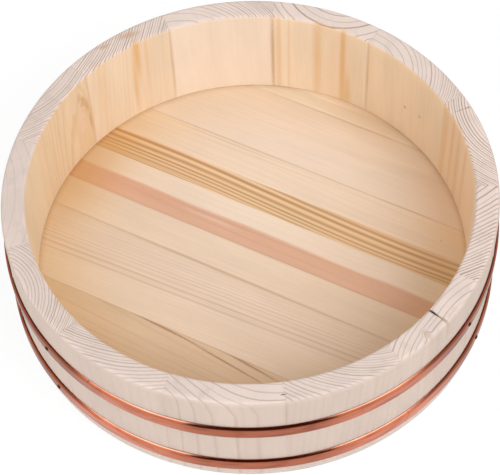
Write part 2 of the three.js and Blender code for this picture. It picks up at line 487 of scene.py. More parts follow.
@dataclass(frozen=True)
class Wood:
    """Planed, unfinished softwood with rings, fibres, pores and marks.

    side is the long grain, end the end grain, and inner, if given, the long grain that faces
    against the log's across direction. Dullness is what late wood and threads add to the
    roughness, and the roughness without them; relief is the height of late wood, threads and pores.
    """

    name: str
    log: Log
    side: Face
    end: Face
    lines: float
    seed: float
    inner: Optional[Face] = None
    zone: Optional[Zone] = None
    marks: tuple[Mark, ...] = ()
    shades: tuple[Shade, ...] = ()
    streaks: float = 0.15
    threads: float = 0.12
    blotches: float = 0.22
    pores: float = 0.06
    year_tones: float = 0.55
    inner_facing: Pair = (-0.6, -0.2)
    inner_lift: float = 0.34
    end_facing: Pair = (0.55, 0.9)
    dullness: Vec3 = (-0.1, 0.3, 0.52)
    relief: Vec3 = (0.35, 0.6, -0.35)
    relief_strength: float = 0.35
    relief_depth: float = 0.15
    shine: float = 0.35

    def material(self, effects: Effects) -> bpy.types.Material:
        """Builds the finish.

        Args:
            effects: the shared node groups.

        Returns:
            A material whose rings run through the solid, so that they meet over its edges.
        """
        g, log, axes = Surface(self.name), self.log, self.log.axes()
        place = g.node("TexCoord").outputs["Object"]
        local = g.fill(g.node("Mapping", vector_type="POINT"), Vector=place, Rotation=axes.to_euler(),
                       Location=-(axes @ Vector(log.pith)), Scale=(1 / MM,) * 3)
        inside = local.outputs[0]
        for mark in self.marks:
            if mark.bend:
                push = g.times(mark.mask(g, effects, place, "Swell"), mark.bend)
                inside = g.vector("ADD", inside, g.joined(X=push))
        rings = g.placed(effects.rings, Vector=inside, Reference=log.reference, Spacing=log.spacing,
                         Power=log.power, Width=log.width, Wobble=log.wobble, Seed=self.seed)
        fibre = g.placed(effects.fibre, Vector=inside, Seed=self.seed)
        latewood, thread, pore = rings["Latewood"], fibre["Thread"], fibre["Pore"]
        early, late, share = self._faces(g, axes)
        lines = self.lines
        if self.zone is not None:
            early, late, lines = self._zoned(g, place, inside, early, late)
        tone = g.linear(rings["Year Tone"], self.year_tones, 1.0 - self.year_tones)
        amount = g.math("MULTIPLY", g.times(latewood, tone), g.times(share, lines), clamp=True)
        color = g.mix(amount, g.mix(g.times(fibre["Streak"], self.streaks), early, late), late)
        light = g.times(g.linear(thread, self.threads, 1.0 - self.threads / 2),
                        g.linear(fibre["Blotch"], self.blotches, 1.0 - self.blotches / 2),
                        g.linear(pore, -self.pores, 1.0))
        color = g.mix(1.0, color, light, "MULTIPLY")
        # stains, knots and cracks, and patches of painted light and shade
        for mark in self.marks:
            color = g.mix(g.times(mark.mask(g, effects, place), mark.strength), color, mark.color)
        # painted light and shade laid over the colour
        for shade in self.shades:
            color = shade.over(g, place, color)
        dull = g.linear(latewood, self.dullness[0], g.linear(thread, *self.dullness[1:]))
        relief = g.linear(latewood, self.relief[0], g.times(thread, self.relief[1]))
        return g.dress(g.linear(pore, self.relief[2], relief), self.relief_strength, self.relief_depth,
                       Base_Color=color, Roughness=dull, Specular_IOR_Level=self.shine)

    def _faces(self, g: Graph, axes: Matrix) -> tuple[Any, Any, Any]:
        """Works out what shows on each kind of face, by the normal's products with the log's axes.

        Args:
            g: the material's graph.
            axes: the log's axes.

        Returns:
            Colours of spring and late wood, and how strongly the rings show.
        """
        normal = g.node("NewGeometry").outputs["Normal"]
        facing = g.math("ABSOLUTE", g.vector("DOT_PRODUCT", normal, axes[2]))
        inwards = g.ramp(g.vector("DOT_PRODUCT", normal, axes[0]), *self.inner_facing, 1.0, 0.0)
        end = g.ramp(g.linear(inwards, self.inner_lift, facing), *self.end_facing)
        early, late, share = self.side.early, self.side.late, self.side.lines
        for mask, face in ((inwards, self.inner), (end, self.end)):
            if face is not None:
                early, late = g.mix(mask, early, face.early), g.mix(mask, late, face.late)
                share = g.linear(mask, g.math("SUBTRACT", face.lines, share), share)
        return early, late, share

    def _zoned(self, g: Graph, place: Output, inside: Output, early: Any, late: Any) -> tuple[Any, Any, Any]:
        """Lays the zone over the wood's colours.

        The zone's mask rises at its low edge and falls at its high one, by the distance across the
        boards plus a noise, and each band fades from its middle.

        Args:
            g: the material's graph.
            place: Object coordinates.
            inside: place about the pith, in millimetres.
            early: spring wood's colour.
            late: late wood's colour.

        Returns:
            Both colours and the strength of the rings.
        """
        zone, across = self.zone, self.log.across
        waver = g.noise(inside, zone.waver_waves, 3.0, self.seed)
        straight = g.math("DIVIDE", g.vector("DOT_PRODUCT", place, across), MM)
        shaken = g.linear(waver, zone.waver, straight)
        low, high = zone.low + zone.waver / 2, zone.high + zone.waver / 2
        held = g.times(g.ramp(shaken, low - zone.low_edge, low + zone.low_edge),
                       g.ramp(shaken, high - zone.high_edge, high + zone.high_edge, 1.0, 0.0))
        early = g.mix(g.times(held, zone.amount), early, zone.tint)
        offset = Vector(self.log.pith).dot(Vector(across)) - zone.band_waver / 2
        grown = g.linear(waver, zone.band_waver, g.math("ADD", g.parts(inside)[0], offset))
        for middle, half_width, strength in zone.bands:
            away = g.math("ABSOLUTE", g.math("SUBTRACT", grown, middle))
            early = g.mix(g.times(held, g.ramp(away, 0.0, half_width, strength, 0.0)), early, zone.late)
        return early, g.mix(held, late, zone.late), g.linear(held, zone.lines - self.lines, self.lines)


@dataclass(frozen=True)
class Copper:
    """Rolled copper strip, handled and a little tarnished.

    Dullness is the roughness of clean copper and what lines, smears and stains add to it.
    """

    name: str
    bright: RGB = (0.59, 0.174, 0.088)
    dull: RGB = (0.4, 0.1, 0.05)
    half_width: float = 6.0
    seed: float = 3.0
    smear_cut: Pair = (0.44, 0.7)
    dullness: tuple[float, ...] = (0.02, 0.06, 0.09, 0.08)
    smear_relief: float = 0.6
    relief_strength: float = 0.25
    relief_depth: float = 0.05

    def material(self, effects: Effects) -> bpy.types.Material:
        """Builds the finish on the strip's own UV map, in millimetres along and across it.

        Args:
            effects: the shared node groups.

        Returns:
            The material.
        """
        g = Surface(self.name)
        worn = g.placed(effects.handling, Vector=g.node("UVMap", uv_map=UV_NAME).outputs["UV"],
                        Half_Width=self.half_width, Seed=self.seed)
        smear, line = worn["Smear"], worn["Line"]
        stain = g.math("MAXIMUM", worn["Tarnish"], g.ramp(smear, *self.smear_cut))
        clean, lined, smeared, stained = self.dullness
        dull = g.linear(stain, stained, g.linear(smear, smeared, g.linear(line, lined, clean)))
        return g.dress(g.linear(smear, self.smear_relief, line), self.relief_strength, self.relief_depth,
                       Base_Color=g.mix(stain, self.bright, self.dull), Metallic=1.0, Roughness=dull)


@dataclass(frozen=True)
class Speckled:
    """A small piece's finish: two tones carried by a noise, for nails and bamboo pins."""

    name: str
    light: RGB
    dark: RGB
    waves: Vec3
    metallic: float
    roughness: float
    cut: Pair = (0.35, 0.65)
    spread: float = 0.3
    relief_strength: float = 0.4
    relief_depth: float = 0.1

    def material(self) -> bpy.types.Material:
        """Builds the finish.

        Returns:
            The material.
        """
        g = Surface(self.name)
        spots = g.noise(g.node("TexCoord").outputs["Object"], self.waves, 4.0)
        return g.dress(spots, self.relief_strength, self.relief_depth, Metallic=self.metallic,
                       Base_Color=g.mix(g.ramp(spots, *self.cut), self.dark, self.light),
                       Roughness=g.linear(spots, self.spread, self.roughness - self.spread / 2))


def arc(centre: Pair, radius: float, start: float, end: float, steps: int) -> np.ndarray:
    """Points on a circular arc: centre plus radius times the cosine and sine of evenly spread angles.

    Args:
        centre: the arc's centre.
        radius: its radius.
        start: first angle in degrees.
        end: last angle in degrees.
        steps: number of points.

    Returns:
        An array of points, steps by 2.
    """
    turn = np.radians(np.linspace(start, end, steps))
    return np.stack([centre[0] + radius * np.cos(turn), centre[1] + radius * np.sin(turn)], axis=-1)


def between(first: np.ndarray, last: np.ndarray, steps: int, margin: float = 0.3) -> np.ndarray:
    """Points strictly inside a straight run, evenly spread.

    Args:
        first: where the run begins.
        last: where it ends.
        steps: number of points.
        margin: distance of the outermost points from the ends, small so that shading stays flat.

    Returns:
        An array of points, steps by 2.
    """
    length = float(np.linalg.norm(last - first))
    share = np.linspace(margin / length, 1 - margin / length, steps)[:, None]
    return first + (last - first) * share


def inset(loop: np.ndarray, depth: np.ndarray) -> np.ndarray:
    """Draws a closed outline in along its own inward normals, for several depths at once.

    The normal at a point is the direction between its neighbours, turned a quarter; the outline
    runs counter-clockwise, so the inside is on its left.

    Args:
        loop: outline points, M by 2.
        depth: how far in, one per copy.

    Returns:
        The copies, N by M by 2.
    """
    along = np.roll(loop, -1, axis=0) - np.roll(loop, 1, axis=0)
    along = along / np.linalg.norm(along, axis=1, keepdims=True)
    inward = np.stack([-along[:, 1], along[:, 0]], axis=-1)
    return loop[None] + depth[:, None, None] * inward[None]


def edge_round(radius: float) -> tuple[np.ndarray, np.ndarray]:
    """A quarter round at a loft's end: each section's setback, and how far it is drawn in."""
    turn = np.radians(np.linspace(90, 0, EDGE_STEPS))
    return radius * (1 - np.sin(turn)), radius * (1 - np.cos(turn))


def outward(points: np.ndarray, quads: np.ndarray) -> bool:
    """Tells whether a closed grid's faces point out, by the sign of the volume under its triangles.

    Args:
        points: the grid's points, about their middle.
        quads: its faces' corners, by number.

    Returns:
        True where they point out.
    """
    a, b, c, d = (points[quads[:, i]] for i in range(4))
    volume = np.einsum("ij,ij->i", a, np.cross(b, c)) + np.einsum("ij,ij->i", a, np.cross(c, d))
    return float(volume.sum()) > 0


def add_object(name: str, data: bpy.types.ID) -> bpy.types.Object:
    """Puts an object into the scene.

    Args:
        name: its name.
        data: its mesh, lamp or camera.

    Returns:
        The object, at the origin.
    """
    made = bpy.data.objects.new(name, data)
    bpy.context.scene.collection.objects.link(made)
    return made


def loft(name: str, loops: np.ndarray, material: bpy.types.Material, wrap: bool = False,
         uv: Optional[np.ndarray] = None, sharp: float = 38.0) -> bpy.types.Object:
    """Makes a closed skin over a row of closed loops.

    Point (i, j) of the grid joins (i + 1, j) and (i, j + 1); the loops close on themselves, and the
    row either closes too or ends in one flat face at each end.

    Args:
        name: the piece's name.
        loops: N loops of M points, N by M by 3, in millimetres.
        material: the finish.
        wrap: joins the last loop to the first.
        uv: optional map, N by M by 2, in the units that the finish reads.
        sharp: angle in degrees from which an edge is shaded as sharp.

    Returns:
        The piece, at the origin, in metres.
    """
    count, size = loops.shape[:2]
    points = loops.reshape(-1, 3) * MM
    i = np.arange(count if wrap else count - 1)[:, None]
    j = np.arange(size)[None, :]
    here, there = i * size, ((i + 1) % count) * size
    after = (j + 1) % size
    quads = np.stack([here + j, there + j, there + after, here + after], axis=-1).reshape(-1, 4)
    flip = not outward(points - points.mean(axis=0), quads)
    faces = (quads[:, ::-1] if flip else quads).tolist()
    if not wrap:
        first, last = np.arange(size), np.arange(size) + (count - 1) * size
        faces += [(first[::-1] if flip else first).tolist(), (last if flip else last[::-1]).tolist()]
    mesh = bpy.data.meshes.new(name)
    mesh.from_pydata(points.tolist(), [], faces)
    if uv is not None:
        layer = mesh.uv_layers.new(name=UV_NAME)
        corner = np.zeros(len(mesh.loops), dtype=np.int32)
        mesh.loops.foreach_get("vertex_index", corner)
        layer.data.foreach_set("uv", uv.reshape(-1, 2)[corner].astype(np.float32).ravel())
    mesh.polygons.foreach_set("use_smooth", np.ones(len(mesh.polygons), dtype=bool))
    mesh.set_sharp_from_angle(angle=math.radians(sharp))
    mesh.materials.append(material)
    mesh.update()
    return add_object(name, mesh)


def take_place(piece: bpy.types.Object, node: str) -> None:
    """Puts a piece on the tub in place of a CAD node and reports it.

    Args:
        piece: the new piece.
        node: the CAD node that it stands for.
    """
    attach(piece, "root")
    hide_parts(node)
    LOG.info("%s: %d faces, stands for %s", piece.name, len(piece.data.polygons), node)


@dataclass(frozen=True)
class Wall:
    """Sizes of the tub's wall, in millimetres."""

    rim_radius: float = 165.0
    lean: float = 1.7
    height: float = 95.0
    thickness: float = 16.0
    rim_outer_round: float = 3.2
    rim_inner_round: float = 2.0
    foot_round: float = 2.5
    foot_inner_round: float = 0.8
    floor_top: float = 19.5
    floor_thickness: float = 12.0
    groove_depth: float = 4.0
    groove_clearance: float = 0.15
    lip_gap: float = 0.3
    long_run: float = 20.0

    def outer(self, z: Any) -> Any:
        """Outside radius at a height."""
        return self.rim_radius - self.lean * (1 - z / self.height)

    def inner(self, z: Any) -> Any:
        """Inside radius at a height."""
        return self.outer(z) - self.thickness

    @property
    def middle(self) -> float:
        """Radius of the middle of the rim."""
        return self.rim_radius - self.thickness / 2

    @property
    def groove_radius(self) -> float:
        """Radius of the bottom of the groove that holds the floor."""
        return self.inner(self.floor_top) + self.groove_depth

    @property
    def floor_radius(self) -> float:
        """Radius of the floor, a little short of the groove's bottom."""
        return self.groove_radius - 2 * self.groove_clearance

    def outline(self) -> np.ndarray:
        """The wall's section: straight runs between rounds at rim and foot, with the floor's groove inside.

        Returns:
            A counter-clockwise loop of radius and height.
        """
        high, low = self.height - self.rim_outer_round, self.height - self.rim_inner_round
        top, groove = self.floor_top + self.lip_gap, self.groove_radius
        foot = self.floor_top - self.floor_thickness - self.groove_clearance
        heel, toe = self.foot_inner_round, self.foot_round
        corners = ((self.inner(top), top), (groove, top), (groove, foot), (self.inner(foot), foot))
        parts = [
            arc((self.inner(0) + heel, heel), heel, 180, 270, 4),
            arc((self.outer(0) - toe, toe), toe, -90, 0, 7),
            arc((self.outer(high) - self.rim_outer_round, high), self.rim_outer_round, 0, 90, 9),
            arc((self.inner(low) + self.rim_inner_round, low), self.rim_inner_round, 90, 180, 8),
            *(np.array([corner]) for corner in corners),
        ]
        runs = []
        for part, following in zip(parts, parts[1:] + parts[:1]):
            is_long = np.linalg.norm(following[0] - part[-1]) > self.long_run
            runs += [part, between(part[-1], following[0], 9 if is_long else 3)]
        return np.concatenate(runs)


@dataclass(frozen=True)
class Grain:
    """How one stave was cut from its log.

    pith_round and pith_out give the pith from the middle of the stave's top, in millimetres round
    the tub and outwards; lean is how far the log tips from upright, per millimetre.
    """

    pith_round: float
    pith_out: float
    spacing: float
    power: float
    lines: float
    tone: RGB = WHITE
    lean: Pair = (0.0, 0.0)
    marks: tuple[Mark, ...] = ()
    inner_lines: float = 0.2
    outer_lines: float = 0.22
    # painted light: rim scales the end grain's colours, lighter on the back staves and darker on the front
    # ones
    rim: float = 1.0


DARK = (0.07, 0.035, 0.02)
SPECK = (0.42, 0.2, 0.08)
RUST = (0.3, 0.13, 0.07)
TAN = (0.42, 0.25, 0.15)
AMBER = (0.8, 0.48, 0.19)
GINGER = (0.6, 0.37, 0.22)
UMBER = (0.55, 0.29, 0.11)
BLUSH = (0.86, 0.63, 0.48)
RIM = Wall.height
INSIDE = 148.3


def streak(azimuth: float, height: float, half_width: float, half_height: float, strength: float,
           color: RGB = AMBER, ragged: float = 0.35, depth: float = 6.0) -> Mark:
    """An upright streak on the inside of the wall."""
    return Mark(azimuth, INSIDE, height, (depth, half_width, half_height), color, strength, ragged=ragged)


JOINT_STAINS = (
    Mark(-84.5, 158.9, RIM, (0.8, 3.0, 1.5), DARK, 0.85),
    Mark(-84.2, 164.5, 80.0, (4.0, 2.6, 22.0), TAN, 0.24, ragged=0.4),
    Mark(-42.6, 152.5, RIM, (6.5, 1.5, 30.0), DARK, 0.95, ragged=0.3),
    *(streak(azimuth, 57.0, half_width, 75.0, strength, UMBER, 0.4, 4.0) for azimuth, half_width, strength in
      ((54.2, 2.0, 0.36), (81.9, 2.4, 0.55), (110.1, 1.8, 0.35), (137.3, 1.8, 0.25))),
)
# Each rim= below is painted light on that stave's end grain.
STAVE_GRAINS = (
    Grain(-13.6, 33.6, 2.3, 1.7, 1.0, lean=(0.01, 0.02)),
    Grain(-45.0, -108.0, 2.2, -1.2, 0.95, lean=(-0.01, 0.015), rim=0.99),
    Grain(28.0, -75.0, 4.6, 1.3, 0.75, lean=(0.02, -0.01),
          marks=(Mark(-97.0, 164.0, 96.0, (14.0, 40.0, 20.0), TAN, 0.0, -1.8),), outer_lines=0.7, rim=0.97),
    Grain(42.0, -65.0, 2.1, -0.15, 0.9, lean=(-0.015, 0.02), rim=0.95),
    Grain(22.0, 66.0, 3.7, 1.2, 1.1, lean=(0.012, 0.02), rim=0.96,
          marks=(Mark(-48.0, 160.0, RIM, (6.5, 3.6, 14.0), TAN, 0.25, 4.2),
                 Mark(-42.75, 161.5, 90.0, (6.0, 1.1, 22.0), TAN, 0.75))),
    Grain(-14.0, 65.0, 3.8, 1.2, 0.8, lean=(0.012, 0.02),
          marks=(Mark(-42.4, 161.5, 90.0, (6.0, 1.1, 22.0), TAN, 0.75),)),
    Grain(129.0, -125.0, 2.6, 3.7, 1.35, lean=(0.0, 0.01),
          marks=(Mark(-18.7, 155.0, RIM, (0.8, 1.2, 1.0), RUST, 0.35),), rim=1.02),
    Grain(22.4, 52.0, 2.0, 2.0, 1.25, (1.03, 0.955, 0.86), (0.02, -0.015),
          (Mark(21.5, 156.5, RIM, (9.0, 0.5, 14.0), RUST, 0.55),
           Mark(21.5, 161.5, RIM, (3.4, 1.3, 5.0), RUST, 0.5),
           streak(23.6, 56.0, 5.5, 75.0, 0.4), streak(19.4, 66.0, 3.2, 70.0, 0.4),
           streak(15.6, 56.0, 4.8, 75.0, 0.4), streak(10.5, 62.0, 4.0, 70.0, 0.35)), rim=1.07),
    Grain(25.0, -39.0, 3.5, 3.0, 0.9, (1.03, 1.01, 0.94), (0.01, 0.02),
          (Mark(40.8, 148.2, 50.3, (2.5, 1.7, 1.9), SPECK, 0.65),
           Mark(35.1, 148.2, 53.2, (2.5, 1.5, 1.7), SPECK, 0.6)), rim=1.01),
    Grain(-3.4, 34.0, 6.0, 1.2, 1.35, (1.03, 1.04, 1.03),
          marks=(streak(63.5, 50.0, 22.0, 120.0, 0.2), streak(69.3, 60.0, 5.5, 100.0, 0.5),
                 streak(61.9, 66.0, 3.6, 90.0, 0.75), streak(60.4, 26.0, 5.0, 40.0, 0.55),
                 streak(80.2, 62.0, 3.0, 100.0, 0.45), streak(77.4, 58.0, 1.6, 90.0, 0.35)),
          inner_lines=0.12, rim=1.06),
    Grain(31.0, -45.0, 3.1, 2.9, 0.8, (1.02, 1.065, 1.14), (0.015, 0.02), inner_lines=0.04, rim=1.07),
    Grain(90.0, 108.0, 1.7, 1.0, 1.1, (0.97, 0.975, 0.965), (0.0, -0.02),
          (Mark(120.5, 158.0, RIM, (4.0, 12.0, 6.0), GINGER, 0.7, twist=-12.0),
           Mark(127.6, 159.8, RIM, (3.0, 7.0, 6.0), GINGER, 0.7, twist=-12.0),
           streak(120.3, 86.0, 4.6, 46.0, 0.8), streak(121.6, 52.0, 3.0, 46.0, 0.6),
           streak(117.5, 76.0, 2.6, 60.0, 0.35), streak(132.5, 70.0, 9.0, 90.0, 0.2)), rim=1.11),
    Grain(-30.0, 71.0, 1.8, 1.0, 0.9, (0.9, 0.87, 0.79), (0.06, 0.05),
          (Mark(140.2, 148.5, 34.0, (16.0, 10.0, 60.0), AMBER, 0.2, 8.0, ragged=0.3),
           streak(141.4, 56.0, 5.5, 21.0, 0.75, BLUSH, 0.4), streak(141.1, 81.0, 3.0, 7.5, 0.38, UMBER, 0.3),
           streak(139.7, 73.5, 4.2, 9.0, 0.52, UMBER, 0.3), streak(138.6, 66.0, 3.0, 9.5, 0.55, UMBER, 0.3),
           streak(138.0, 50.0, 1.8, 18.0, 0.55, UMBER, 0.5)), 0.7, rim=1.03),
    Grain(3.0, 110.0, 6.0, 1.0, 0.3, (0.88, 0.865, 0.79), (0.03, 0.02), rim=0.95),
)


@dataclass
class StaveRing:
    """The ring of upright staves, counter-clockwise from the first joint.

    One joint stands open. Seeds are the first stave's and the step to the next.
    """

    wall: Wall = field(default_factory=Wall)
    first_joint: float = -165.9
    widths: tuple[float, ...] = (26.6, 28.0, 27.1, 27.2, 14.4, 12.8, 27.5,
                                 27.7, 28.8, 27.7, 28.2, 27.2, 25.5, 31.3)
    gap: float = 0.03
    edge: float = 0.08
    columns: int = 26
    column_spread: float = 28.0
    fewest_columns: int = 8
    open_joint: int = 5
    open_width: float = 0.44
    open_start: float = 2.0
    open_depth: float = 2.5
    open_foot: float = 20.0
    open_rise: float = 60.0
    uneven_height: float = 0.3
    uneven_radius: float = 0.12
    uneven_seed: int = 11
    outside: Face = Face((0.64, 0.517, 0.443), (0.48, 0.335, 0.25))
    inside: Face = Face((0.93, 0.75, 0.575), (0.82, 0.55, 0.29))
    end: Face = Face((0.775, 0.635, 0.563), (0.4, 0.28, 0.22))
    # painted light: the outside is lightened and cooled below 14 mm, towards the foot
    foot_painted_light: tuple[Shade, ...] = (Shade((0.0, 0.0, 1.0), 14.0, 8.0, (1.05, 1.09, 1.14)),)
    seeds: Pair = (1.0, 7.3)

    def joints(self) -> np.ndarray:
        """Angles of the joints in radians, one more than there are staves."""
        return np.radians(self.first_joint + np.concatenate([[0.0], np.cumsum(self.widths)]))

    def opening(self, radius: np.ndarray, z: np.ndarray, joint: int) -> np.ndarray:
        """How much wider a joint stands open on each side where the wood has shrunk.

        The open joint widens smoothly from the middle of the wall to its inside, and closes again
        towards the foot.

        Args:
            radius: distance from the tub's axis.
            z: height.
            joint: number of the joint.

        Returns:
            Extra half gap at each point.
        """
        if joint != self.open_joint:
            return np.zeros_like(radius)
        inwards = np.clip((self.wall.middle + self.open_start - radius) / self.open_depth, 0.0, 1.0)
        upwards = np.clip((z - self.open_foot) / self.open_rise, 0.0, 1.0)
        return self.open_width * inwards * inwards * (3 - 2 * inwards) * upwards

    def loops(self, index: int, rng: np.random.Generator) -> np.ndarray:
        """Sections of one stave from joint to joint.

        Each section is the wall's outline turned to its own angle. A joint face stands half a gap
        off its radius, so its angle at radius r is the arc sine of that distance over r, and the
        sections next to it are drawn in round a small edge.

        Args:
            index: number of the stave.
            rng: source of small differences between staves.

        Returns:
            Points, sections by outline by 3, in millimetres.
        """
        start, end = self.joints()[index:index + 2]
        back, draw = edge_round(self.edge)
        steps = max(self.fewest_columns, int(self.columns * self.widths[index] / self.column_spread))
        ends = np.zeros(EDGE_STEPS)
        share = np.concatenate([ends, np.linspace(0, 1, steps + 2)[1:-1], ends + 1])
        setback = np.concatenate([back, np.full(steps, self.edge), back[::-1]])[:, None]
        section = inset(self.wall.outline(), np.concatenate([draw, np.zeros(steps), draw[::-1]]))
        z = section[..., 1] - rng.uniform(0.0, self.uneven_height) * section[..., 1] / self.wall.height
        radius = section[..., 0] - rng.uniform(0.0, self.uneven_radius)
        shy, following_shy = (np.arcsin((self.gap / 2 + self.opening(radius, z, joint) + setback) / radius)
                              for joint in (index, (index + 1) % len(self.widths)))
        low, high = start + shy, end - following_shy
        turn = low + (high - low) * share[:, None]
        return np.stack([radius * np.cos(turn), radius * np.sin(turn), z], axis=-1)

    def finish(self, index: int) -> Wood:
        """The wood of one stave.

        Args:
            index: number of the stave.

        Returns:
            Its finish.
        """
        grain, (start, end) = STAVE_GRAINS[index], self.joints()[index:index + 2]
        out, round_way = level_axes((start + end) / 2)
        axis = UP + grain.lean[0] * out + grain.lean[1] * round_way
        pith = (self.wall.middle + grain.pith_out) * out + grain.pith_round * round_way
        log = Log(tuple(pith + self.wall.height * axis), tuple(out), tuple(axis),
                  math.hypot(grain.pith_round, grain.pith_out), grain.spacing, grain.power)
        low, high = math.degrees(start) - 1, math.degrees(end) + 1
        stains = tuple(mark for mark in JOINT_STAINS if low < mark.azimuth < high)
        return Wood(f"stave_wood_{index + 1:02d}", log, self.outside.toned(WHITE, grain.outer_lines),
                    self.end.toned((grain.rim,) * 3, 1.0), grain.lines, self.seeds[1] * index + self.seeds[0],
                    self.inside.toned(grain.tone, grain.inner_lines), marks=grain.marks + stains,
                    shades=self.foot_painted_light)

    def build(self, effects: Effects) -> None:
        """Makes, dresses and places every stave.

        Args:
            effects: the shared node groups.
        """
        rng = np.random.default_rng(self.uneven_seed)
        for index in range(len(self.widths)):
            name = f"stave_{index + 1:02d}"
            piece = loft(f"{name}_wood", self.loops(index, rng), self.finish(index).material(effects))
            take_place(piece, name)


@dataclass(frozen=True)
class Plank:
    """One floor board's wood, in millimetres: its pith across the boards and up, rings and tints."""

    pith_across: float
    pith_height: float
    spacing: float
    power: float
    lines: float
    early: RGB
    lean: Pair = (0.0, 0.0)
    wobble: float = 2.0
    zone: Optional[Zone] = None
    marks: tuple[Mark, ...] = ()
    width: float = 1.15
    # painted warm shade: the board darkens and warms by this tint towards the wall
    edge: RGB = (0.99, 0.935, 0.79)


BOARD_DIRECTION = -29.2
FLOOR = Wall.floor_top
STAIN_DEPTH = 3.0


def board_mark(along: float, across: float, reach: Pair, color: RGB, strength: float,
               slope: float = 0.0, ragged: float = 0.6, bend: float = 0.0) -> Mark:
    """A mark on the floor, by its place along and across the boards and its slope from their direction."""
    turn = math.degrees(math.atan2(across, along))
    return Mark(BOARD_DIRECTION + turn, math.hypot(along, across), FLOOR, (*reach, STAIN_DEPTH), color,
                strength, bend, slope - turn, ragged)


PALE = (0.88, 0.7, 0.545)
STRAW = (0.82, 0.64, 0.485)
CREAM = (0.87, 0.7, 0.55)
ORANGE = (0.69, 0.5, 0.335)
BROWN = (0.5, 0.28, 0.14)
CRACK = (0.4, 0.2, 0.09)
RUSSET = (0.62, 0.31, 0.19)
PAINTED_WARM_SHADE = (0.64, 0.37, 0.16)
PAINTED_WARM_LIGHT = (1.0, 0.75, 0.54)
# a weaker painted warm shade, for the back boards
BACK_WARM_SHADE = (0.99, 0.96, 0.89)
PLANKS = (
    Plank(-75.0, -8.5, 3.4, 1.3, 0.28, ORANGE, (0.0, 0.037),
          marks=(board_mark(-26.0, -81.7, (46.0, 1.2), CRACK, 0.9, -3.6),
                 board_mark(26.0, -87.3, (50.0, 1.2), CRACK, 0.85, -7.0),
                 board_mark(40.0, -82.3, (36.0, 1.1), CRACK, 0.85, -6.5),
                 # painted shade along the front of the floor, from the front wall
                 board_mark(0.0, -140.0, (170.0, 60.0), BROWN, 0.25, ragged=0.0))),
    Plank(90.0, 12.0, 2.4, 1.5, 0.08, (0.79, 0.612, 0.46), (0.036, 0.0), 1.2,
          Zone(-59.0, -28.0, 3.0, 6.0, (0.83, 0.655, 0.515), 0.8, 0.25, BROWN,
               ((-53.0, 1.6, 0.3), (-49.0, 1.5, 0.38), (-45.0, 1.3, 0.3), (-41.7, 1.1, 0.18),
                (-39.2, 1.1, 0.22), (-36.6, 1.0, 0.14), (-34.2, 1.0, 0.12), (-31.8, 1.1, 0.16),
                (-29.3, 1.0, 0.1))),
          (Mark(-51.0, 55.0, FLOOR, (1.0, 1.3, 2.0), DARK, 0.6),)),
    Plank(-150.0, 0.0, 4.0, 1.2, 0.08, STRAW),
    Plank(-60.0, 8.0, 5.0, 1.2, 0.06, CREAM,
          zone=Zone(-40.0, 17.2, 1.0, 1.6, (0.73, 0.42, 0.285), 0.95, 0.3, (0.58, 0.29, 0.17)),
          marks=(board_mark(-10.0, 14.6, (150.0, 1.7), RUSSET, 0.4, 0.2, 1.0),
                 board_mark(-20.0, 8.6, (140.0, 1.5), RUSSET, 0.3, -0.3, 1.0),
                 board_mark(-85.0, 11.0, (45.0, 2.4), RUSSET, 0.35, -0.6, 1.0),
                 board_mark(-38.0, 12.2, (34.0, 1.8), CREAM, 0.35, 0.5, 1.0))),
    Plank(140.0, 10.0, 3.5, 3.0, 0.1, PALE, (0.004, 0.0), 3.0,
          Zone(31.0, 54.4, 1.0, 0.8, (0.86, 0.595, 0.35), 0.97, 0.3, (0.4, 0.175, 0.05),
               ((57.2, 2.1, 0.66), (52.8, 2.3, 0.7), (47.7, 2.1, 0.68), (43.7, 1.6, 0.62), (40.9, 1.4, 0.56),
                (37.9, 1.4, 0.58), (35.8, 1.0, 0.35), (33.8, 1.2, 0.55))),
          (Mark(0.9, 131.0, FLOOR, (1.0, 1.0, 2.0), DARK, 0.5),
           board_mark(90.0, 45.0, (190.0, 90.0), BROWN, 0.0, bend=6.5),
           board_mark(-60.0, 76.8, (80.0, 1.1), BROWN, 0.22),
           board_mark(-10.0, 74.0, (120.0, 1.0), BROWN, 0.18, 0.9)), 1.7),
    Plank(200.0, 5.0, 6.0, 1.2, 0.04, (0.86, 0.7, 0.565), edge=BACK_WARM_SHADE),
    Plank(230.0, 5.0, 4.0, 1.2, 0.06, (0.9, 0.765, 0.63), edge=BACK_WARM_SHADE),
)
# Joint lines are stains; the broad patches at the end are painted light and shade.
FLOOR_STAINS_AND_SHADES = (
    board_mark(0.0, -80.5, (150.0, 1.0), BROWN, 0.2),
    board_mark(0.0, -23.8, (190.0, 2.0), BROWN, 0.4, ragged=0.4),
    board_mark(0.0, 1.5, (190.0, 1.6), BROWN, 0.25, ragged=0.4),
    board_mark(-20.0, 79.5, (170.0, 1.2), BROWN, 0.3),
    board_mark(92.0, 79.5, (52.0, 1.2), BROWN, 0.4),
    board_mark(10.0, 131.0, (90.0, 1.2), BROWN, 0.3),
    # painted shade over the right-hand floor, from the right wall
    board_mark(88.0, 20.0, (115.0, 200.0), BROWN, 0.19, ragged=0.0),
    # painted warm shade along the floor's edge by the left and back walls
    Mark(147.0, 150.0, FLOOR, (50.0, 95.0, STAIN_DEPTH), PAINTED_WARM_SHADE, 0.5, ragged=0.0),
    Mark(52.0, 150.0, FLOOR, (34.0, 55.0, STAIN_DEPTH), PAINTED_WARM_SHADE, 0.3, ragged=0.0),
    # painted light on the floor's edge by the right wall
    Mark(8.0, 152.0, FLOOR, (50.0, 70.0, STAIN_DEPTH), PAINTED_WARM_LIGHT, 0.6, ragged=0.0),
)


